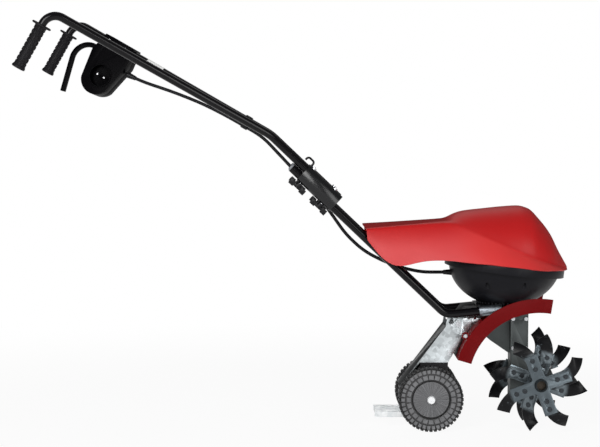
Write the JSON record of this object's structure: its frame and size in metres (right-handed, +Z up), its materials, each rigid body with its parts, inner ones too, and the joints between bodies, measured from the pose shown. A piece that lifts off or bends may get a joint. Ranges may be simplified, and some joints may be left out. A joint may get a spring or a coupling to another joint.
{
  "type": "electric tiller",
  "caption": "Walk-behind electric tiller: shaped hood over a round motor bowl, curved tines on a worm gearbox, folding wheel stand with foot pedal and splayed tube handles.",
  "frame": {"origin": "centre of the bounding box, on the ground under it", "axes": "+X forward towards the tines, +Y to the operator's left, +Z up"},
  "size_m": [1.3112, 0.476, 0.9676],
  "materials": {
    "hood_red": "gloss",
    "black_plastic": "satin",
    "knob_black": "satin",
    "grip_rubber": "textured",
    "wheel_black": "moulded",
    "tube_black": "gloss powder coat",
    "galvanised": "zinc plated",
    "fasteners": "zinc plated",
    "tube_cap_grey": "satin",
    "tine_plate": "semi-gloss",
    "tine_blade": "semi-gloss",
    "gearbox_cast": "as cast",
    "steel_shaft": "ground",
    "bronze": "machined",
    "pin_metal": "plated",
    "motor_iron": "laminated",
    "fan_plastic": "moulded",
    "cable_rubber": "satin"
  },
  "bodies": {
    "frame": {"hood": "hood_red", "fender": "hood_red", "motor_bowl": "black_plastic", "switch_case": "black_plastic", "switch_cover": "black_plastic", "clamp_right": "black_plastic", "clamp_left": "black_plastic", "cable_clip": "black_plastic", "cable_glands": "black_plastic", "grip_right": "grip_rubber", "grip_left": "grip_rubber", "lower_tube_right": "tube_black", "lower_tube_left": "tube_black", "upper_tube_right": "tube_black", "upper_tube_left": "tube_black", "cord_hook": "tube_black", "stand_hanger": "galvanised", "mount_plate": "galvanised", "handle_sockets": "galvanised", "gearbox_screws": "fasteners", "mount_bolts": "fasteners", "stand_pivot_bolt": "fasteners", "stand_stop_rod": "fasteners", "clamp_bolts": "fasteners", "hood_screws": "fasteners", "switch_screws": "fasteners", "lower_tube_caps": "tube_cap_grey", "gearbox_right_half": "gearbox_cast", "gearbox_left_half": "gearbox_cast", "worm_bearings": "steel_shaft", "axle_bushes": "bronze", "inlet_pins": "pin_metal", "motor_stator": "motor_iron", "motor_end_bracket": "motor_iron", "power_switch": "fan_plastic", "motor_cable": "cable_rubber"},
    "tines": {"tine_axle": "steel_shaft", "worm_wheel": "bronze", "tine_hubs_right": "tine_plate", "tine_hubs_left": "tine_plate", "tine_blades_right": "tine_blade", "tine_blades_left": "tine_blade", "tine_rivets": "fasteners", "hub_pins": "fasteners"},
    "motor": {"worm_shaft": "steel_shaft", "armature": "motor_iron", "cooling_fan": "fan_plastic"},
    "stand": {"stand_bracket": "galvanised", "axle_carrier": "black_plastic", "wheel_axle": "steel_shaft", "foot_pedal": "galvanised", "stand_bolts": "fasteners", "axle_caps": "steel_shaft"},
    "right_wheel": {"wheel_right": "wheel_black"},
    "left_wheel": {"wheel_left": "wheel_black"},
    "trigger": {"trigger_lever": "black_plastic"},
    "right_front_knob": {"knob_right_front": "knob_black"},
    "right_rear_knob": {"knob_right_rear": "knob_black"},
    "left_front_knob": {"knob_left_front": "knob_black"},
    "left_rear_knob": {"knob_left_rear": "knob_black"}
  },
  "joints": [
    {"name": "tine_spin", "type": "hinge", "parent": "frame", "child": "tines", "pos_m": [0.5412, 0, 0.11439], "axis": [0, 1, 0], "continuous": true},
    {"name": "motor_spin", "type": "hinge", "parent": "frame", "child": "motor", "pos_m": [0.5012, 0, 0.11439], "axis": [0, 0, 1], "continuous": true},
    {"name": "stand_fold", "type": "hinge", "parent": "frame", "child": "stand", "pos_m": [0.3552, 0, 0.25002], "axis": [0, 1, 0], "range_deg": [0, 75]},
    {"name": "right_wheel_spin", "type": "hinge", "parent": "stand", "child": "right_wheel", "pos_m": [0.2892, -0.067, 0.076], "axis": [0, 1, 0], "continuous": true},
    {"name": "left_wheel_spin", "type": "hinge", "parent": "stand", "child": "left_wheel", "pos_m": [0.2892, 0.067, 0.076], "axis": [0, 1, 0], "continuous": true},
    {"name": "trigger_pull", "type": "hinge", "parent": "frame", "child": "trigger", "pos_m": [-0.5028, 0.18913, 0.8993], "axis": [0.2293, 0.9645, -0.1308], "range_deg": [0, 9], "stiffness_Nm_per_rad": 1, "springref_deg": -14.32},
    {"name": "right_front_knob_turn", "type": "hinge", "parent": "frame", "child": "right_front_knob", "pos_m": [0.0415, -0.062, 0.54225], "axis": [0.6896, 0, 0.7242], "continuous": true},
    {"name": "right_rear_knob_turn", "type": "hinge", "parent": "frame", "child": "right_rear_knob", "pos_m": [-0.00775, -0.062, 0.58914], "axis": [0.6896, 0, 0.7242], "continuous": true},
    {"name": "left_front_knob_turn", "type": "hinge", "parent": "frame", "child": "left_front_knob", "pos_m": [0.0415, 0.062, 0.54225], "axis": [0.6896, 0, 0.7242], "continuous": true},
    {"name": "left_rear_knob_turn", "type": "hinge", "parent": "frame", "child": "left_rear_knob", "pos_m": [-0.00775, 0.062, 0.58914], "axis": [0.6896, 0, 0.7242], "continuous": true}
  ],
  "couplings": [
    {"joint": "motor_spin", "follows": "tine_spin", "ratio": -24}
  ]
}
